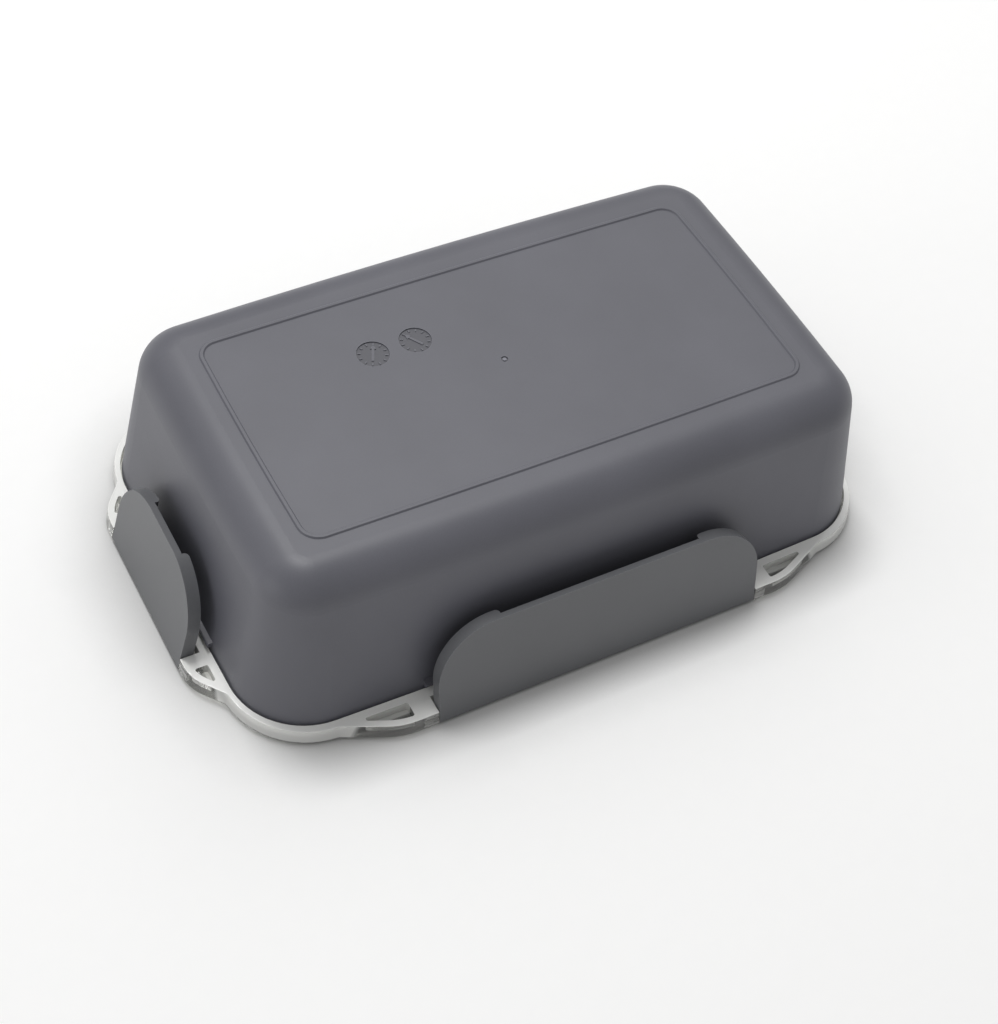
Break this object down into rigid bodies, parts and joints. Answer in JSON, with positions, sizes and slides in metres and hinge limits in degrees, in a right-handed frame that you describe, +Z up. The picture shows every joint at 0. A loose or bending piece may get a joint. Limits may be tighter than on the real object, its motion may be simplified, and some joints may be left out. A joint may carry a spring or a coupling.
{
  "type": "lunch box",
  "caption": "Rectangular clip-lock lunch box, stored upside down: drafted plastic container in a clear lid with a sealing ring, held by hinged side latches on steel pins.",
  "frame": {"origin": "on the ground under the middle of the box, at the lid's outer face", "axes": "+X along the length, -Y to the front long side, +Z up. The box is stored upside down, with its lid on the ground and its base up"},
  "size_m": [0.2254, 0.145, 0.0575],
  "materials": {
    "body_plastic": "fine moulded grain, dark blue grey",
    "latch_plastic": "fine moulded grain, dark grey",
    "clear_plastic": "clear, polished, faintly grey",
    "silicone": "translucent white, satin",
    "pin_steel": "drawn wire, satin"
  },
  "bodies": {
    "lid_body": {"lid": "clear_plastic", "gasket": "silicone"},
    "container_body": {"container": "body_plastic"},
    "latch_front_body": {"latch_front": "latch_plastic", "pin_front": "pin_steel"},
    "latch_back_body": {"latch_back": "latch_plastic", "pin_back": "pin_steel"},
    "latch_left_body": {"latch_left": "latch_plastic", "pin_left": "pin_steel"},
    "latch_right_body": {"latch_right": "latch_plastic", "pin_right": "pin_steel"}
  },
  "joints": [
    {"name": "container_lift", "type": "slide", "parent": "lid_body", "child": "container_body", "axis": [0, 0, 1], "range_m": [0, 0.014]},
    {"name": "latch_front_open", "type": "hinge", "parent": "lid_body", "child": "latch_front_body", "pos_m": [0, -0.06995, 0.0029], "axis": [1, 0, 0], "range_deg": [0, 100]},
    {"name": "latch_back_open", "type": "hinge", "parent": "lid_body", "child": "latch_back_body", "pos_m": [0, 0.06995, 0.0029], "axis": [-1, 0, 0], "range_deg": [0, 100]},
    {"name": "latch_left_open", "type": "hinge", "parent": "lid_body", "child": "latch_left_body", "pos_m": [-0.11015, 0, 0.0029], "axis": [0, -1, 0], "range_deg": [0, 100]},
    {"name": "latch_right_open", "type": "hinge", "parent": "lid_body", "child": "latch_right_body", "pos_m": [0.11015, 0, 0.0029], "axis": [0, 1, 0], "range_deg": [0, 100]}
  ],
  "couplings": [
    {"joint": "latch_front_open", "follows": "container_lift", "rad_per_m": 124.67},
    {"joint": "latch_back_open", "follows": "container_lift", "rad_per_m": 124.67},
    {"joint": "latch_left_open", "follows": "container_lift", "rad_per_m": 124.67},
    {"joint": "latch_right_open", "follows": "container_lift", "rad_per_m": 124.67}
  ]
}
